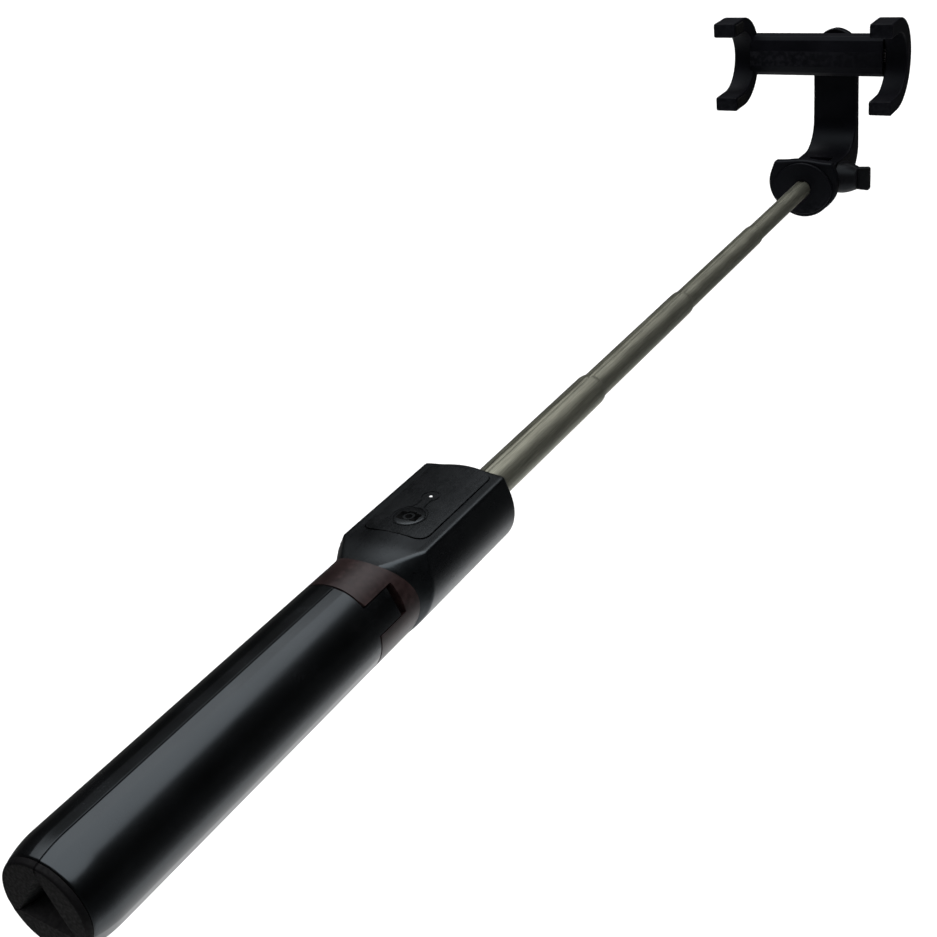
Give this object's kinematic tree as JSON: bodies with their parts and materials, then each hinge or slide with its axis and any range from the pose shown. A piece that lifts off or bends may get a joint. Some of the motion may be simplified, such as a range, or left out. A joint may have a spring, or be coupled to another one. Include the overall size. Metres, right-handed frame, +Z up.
{
  "type": "selfie stick tripod",
  "caption": "Telescopic selfie stick with a folding tripod grip, lift-off shutter remote, tilting arm and a sprung phone clamp that turns.",
  "frame": {"origin": "centre of the closed grip's butt end, on the pole's axis", "axes": "+Y along the pole from the butt to the phone clamp, +Z up out of the button panel, +X towards the thumb knob and the sliding jaw"},
  "size_m": [0.0756, 0.4892, 0.078],
  "materials": {
    "grip_black": "fine satin moulded texture, slightly polished where the hand holds it",
    "liner_black": "plain moulded",
    "foot_rubber": "matt soft rubber, dusty at the rim",
    "pin_steel": "ground steel",
    "screw_steel": "plated steel",
    "hub_brown": "satin dark brown plastic",
    "housing_black": "satin black plastic, fine grain",
    "frame_black": "plain moulded",
    "guide_alloy": "drawn tube",
    "bush_black": "smooth acetal",
    "remote_black": "satin black plastic",
    "remote_base_black": "plain moulded",
    "button_black": "soft satin black with a printed camera icon",
    "lamp_white": "milky lens",
    "board_green": "solder-masked board",
    "switch_metal": "stamped can",
    "cell_steel": "stamped steel",
    "contact_brass": "sprung strip",
    "tube_olive": "satin olive-grey coated steel tube",
    "bush_white": "smooth acetal",
    "cap_black": "satin black plastic",
    "arm_black": "satin black plastic",
    "washer_white": "thin nylon",
    "knob_grey": "polished dark grey plastic",
    "clamp_black": "satin black plastic",
    "cover_black": "satin black plastic",
    "tongue_steel": "stamped strip",
    "spring_steel": "spring wire",
    "pad_rubber": "ribbed soft rubber"
  },
  "bodies": {
    "grip": {"hub_collar": "hub_brown", "housing_shell": "housing_black", "inner_frame": "frame_black", "housing_screws": "screw_steel", "guide_tube": "guide_alloy", "guide_plug": "frame_black", "mouth_bush": "bush_black", "leg_pin_right": "pin_steel", "leg_pin_left": "pin_steel", "leg_pin_bottom": "pin_steel"},
    "leg_right": {"leg_shell_right": "grip_black", "leg_liner_right": "liner_black", "foot_right": "foot_rubber"},
    "leg_left": {"leg_shell_left": "grip_black", "leg_liner_left": "liner_black", "foot_left": "foot_rubber"},
    "leg_bottom": {"leg_shell_bottom": "grip_black", "leg_liner_bottom": "liner_black", "foot_bottom": "foot_rubber"},
    "remote": {"remote_cover": "remote_black", "remote_base": "remote_base_black", "led_lens": "lamp_white", "circuit_board": "board_green", "switch_body": "switch_metal", "coin_cell": "cell_steel", "cell_contact": "contact_brass"},
    "shutter": {"shutter_button": "button_black"},
    "pole_1": {"tube_1": "tube_olive", "bush_1": "bush_white"},
    "pole_2": {"tube_2": "tube_olive", "bush_2": "bush_white"},
    "pole_3": {"tube_3": "tube_olive", "bush_3": "bush_white"},
    "head": {"tube_4": "tube_olive", "bush_4": "bush_white", "end_cap": "cap_black", "cap_rivet": "pin_steel"},
    "arm": {"arm": "arm_black", "hinge_nut": "screw_steel", "hinge_washers": "washer_white", "pivot_cap": "arm_black"},
    "knob": {"thumb_knob": "knob_grey", "hinge_bolt": "pin_steel"},
    "clamp": {"clamp_bar": "clamp_black", "bar_cover": "cover_black", "bar_screws": "screw_steel", "pivot_screw": "pin_steel", "pivot_washer": "tongue_steel", "clamp_spring": "spring_steel", "fixed_pads": "pad_rubber"},
    "slider": {"slide_jaw": "clamp_black", "slide_tongue": "tongue_steel", "slide_pads": "pad_rubber"}
  },
  "joints": [
    {"name": "leg_right_fold", "type": "hinge", "parent": "grip", "child": "leg_right", "pos_m": [0.00914, 0.107, 0.00407], "axis": [-0.4067, 0, 0.9135], "range_deg": [0, 60]},
    {"name": "leg_left_fold", "type": "hinge", "parent": "grip", "child": "leg_left", "pos_m": [-0.00809, 0.107, 0.00588], "axis": [-0.5878, 0, -0.809], "range_deg": [0, 60]},
    {"name": "leg_bottom_fold", "type": "hinge", "parent": "grip", "child": "leg_bottom", "pos_m": [-0.00104, 0.107, -0.00995], "axis": [0.9945, 0, -0.1045], "range_deg": [0, 60]},
    {"name": "pole_1_slide", "type": "slide", "parent": "grip", "child": "pole_1", "axis": [0, 1, 0], "range_m": [-0.0757, 0]},
    {"name": "pole_2_slide", "type": "slide", "parent": "pole_1", "child": "pole_2", "axis": [0, 1, 0], "range_m": [-0.0724, 0]},
    {"name": "pole_3_slide", "type": "slide", "parent": "pole_2", "child": "pole_3", "axis": [0, 1, 0], "range_m": [-0.0698, 0]},
    {"name": "pole_4_slide", "type": "slide", "parent": "pole_3", "child": "head", "axis": [0, 1, 0], "range_m": [-0.0561, 0]},
    {"name": "arm_tilt", "type": "hinge", "parent": "head", "child": "arm", "pos_m": [0, 0.46, 0], "axis": [1, 0, 0], "range_deg": [-90, 90]},
    {"name": "knob_turn", "type": "hinge", "parent": "arm", "child": "knob", "pos_m": [0.0138, 0.46, 0], "axis": [1, 0, 0], "continuous": true},
    {"name": "clamp_turn", "type": "hinge", "parent": "arm", "child": "clamp", "pos_m": [0, 0.4842, 0.0465], "axis": [0, -1, 0], "range_deg": [-90, 0]},
    {"name": "jaw_slide", "type": "slide", "parent": "clamp", "child": "slider", "axis": [1, 0, 0], "range_m": [0, 0.033], "stiffness_N_per_m": 150, "springref_m": -0.02, "deforming": ["clamp_spring"]},
    {"name": "remote_lift", "type": "slide", "parent": "grip", "child": "remote", "axis": [0, 0, 1], "range_m": [0, 0.02]},
    {"name": "shutter_press", "type": "slide", "parent": "remote", "child": "shutter", "axis": [0, 0, -1], "range_m": [0, 0.0004], "stiffness_N_per_m": 500, "springref_m": -0.003}
  ]
}
